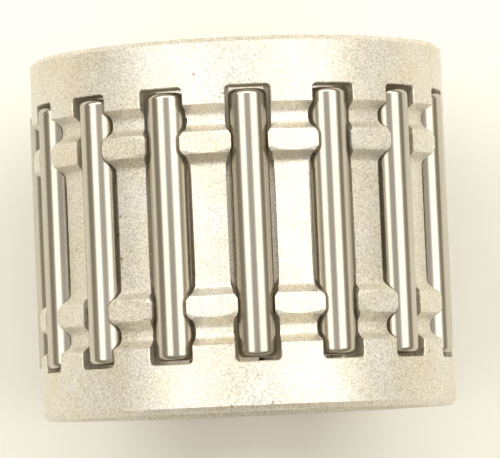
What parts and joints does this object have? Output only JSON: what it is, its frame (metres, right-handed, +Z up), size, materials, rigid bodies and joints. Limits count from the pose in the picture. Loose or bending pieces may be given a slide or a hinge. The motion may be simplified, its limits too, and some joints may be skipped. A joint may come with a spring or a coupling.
{
  "type": "needle roller and cage assembly",
  "caption": "Radial needle roller and cage assembly: loose needles held in a one-piece machined window cage, with no rings, to run straight on a shaft and in a housing bore.",
  "frame": {"origin": "centre of the bearing, on its axis and midway between the end faces", "axes": "+Y along the bearing's axis; +Z up, with the bearing lying on its side and the first needle 3 degrees from +Z towards +X"},
  "size_m": [0.0278, 0.024, 0.0278],
  "materials": {
    "plated_cage": "satin silver-coloured plating over machined steel",
    "ground_needle": "ground and polished"
  },
  "bodies": {
    "cage": {"cage": "plated_cage"},
    "needle_roller_01": {"needle_roller_01": "ground_needle"},
    "needle_roller_02": {"needle_roller_02": "ground_needle"},
    "needle_roller_03": {"needle_roller_03": "ground_needle"},
    "needle_roller_04": {"needle_roller_04": "ground_needle"},
    "needle_roller_05": {"needle_roller_05": "ground_needle"},
    "needle_roller_06": {"needle_roller_06": "ground_needle"},
    "needle_roller_07": {"needle_roller_07": "ground_needle"},
    "needle_roller_08": {"needle_roller_08": "ground_needle"},
    "needle_roller_09": {"needle_roller_09": "ground_needle"},
    "needle_roller_10": {"needle_roller_10": "ground_needle"},
    "needle_roller_11": {"needle_roller_11": "ground_needle"},
    "needle_roller_12": {"needle_roller_12": "ground_needle"},
    "needle_roller_13": {"needle_roller_13": "ground_needle"},
    "needle_roller_14": {"needle_roller_14": "ground_needle"},
    "needle_roller_15": {"needle_roller_15": "ground_needle"}
  },
  "joints": [
    {"name": "needle_roller_01_spin", "type": "hinge", "parent": "cage", "child": "needle_roller_01", "pos_m": [0.00067, 0, 0.01273], "axis": [0, 1, 0], "continuous": true},
    {"name": "needle_roller_02_spin", "type": "hinge", "parent": "cage", "child": "needle_roller_02", "pos_m": [0.00579, 0, 0.01136], "axis": [0, 1, 0], "continuous": true},
    {"name": "needle_roller_03_spin", "type": "hinge", "parent": "cage", "child": "needle_roller_03", "pos_m": [0.00991, 0, 0.00802], "axis": [0, 1, 0], "continuous": true},
    {"name": "needle_roller_04_spin", "type": "hinge", "parent": "cage", "child": "needle_roller_04", "pos_m": [0.01232, 0, 0.0033], "axis": [0, 1, 0], "continuous": true},
    {"name": "needle_roller_05_spin", "type": "hinge", "parent": "cage", "child": "needle_roller_05", "pos_m": [0.01259, 0, -0.00199], "axis": [0, 1, 0], "continuous": true},
    {"name": "needle_roller_06_spin", "type": "hinge", "parent": "cage", "child": "needle_roller_06", "pos_m": [0.01069, 0, -0.00694], "axis": [0, 1, 0], "continuous": true},
    {"name": "needle_roller_07_spin", "type": "hinge", "parent": "cage", "child": "needle_roller_07", "pos_m": [0.00694, 0, -0.01069], "axis": [0, 1, 0], "continuous": true},
    {"name": "needle_roller_08_spin", "type": "hinge", "parent": "cage", "child": "needle_roller_08", "pos_m": [0.00199, 0, -0.01259], "axis": [0, 1, 0], "continuous": true},
    {"name": "needle_roller_09_spin", "type": "hinge", "parent": "cage", "child": "needle_roller_09", "pos_m": [-0.0033, 0, -0.01232], "axis": [0, 1, 0], "continuous": true},
    {"name": "needle_roller_10_spin", "type": "hinge", "parent": "cage", "child": "needle_roller_10", "pos_m": [-0.00802, 0, -0.00991], "axis": [0, 1, 0], "continuous": true},
    {"name": "needle_roller_11_spin", "type": "hinge", "parent": "cage", "child": "needle_roller_11", "pos_m": [-0.01136, 0, -0.00579], "axis": [0, 1, 0], "continuous": true},
    {"name": "needle_roller_12_spin", "type": "hinge", "parent": "cage", "child": "needle_roller_12", "pos_m": [-0.01273, 0, -0.00067], "axis": [0, 1, 0], "continuous": true},
    {"name": "needle_roller_13_spin", "type": "hinge", "parent": "cage", "child": "needle_roller_13", "pos_m": [-0.0119, 0, 0.00457], "axis": [0, 1, 0], "continuous": true},
    {"name": "needle_roller_14_spin", "type": "hinge", "parent": "cage", "child": "needle_roller_14", "pos_m": [-0.00902, 0, 0.00902], "axis": [0, 1, 0], "continuous": true},
    {"name": "needle_roller_15_spin", "type": "hinge", "parent": "cage", "child": "needle_roller_15", "pos_m": [-0.00457, 0, 0.0119], "axis": [0, 1, 0], "continuous": true}
  ]
}
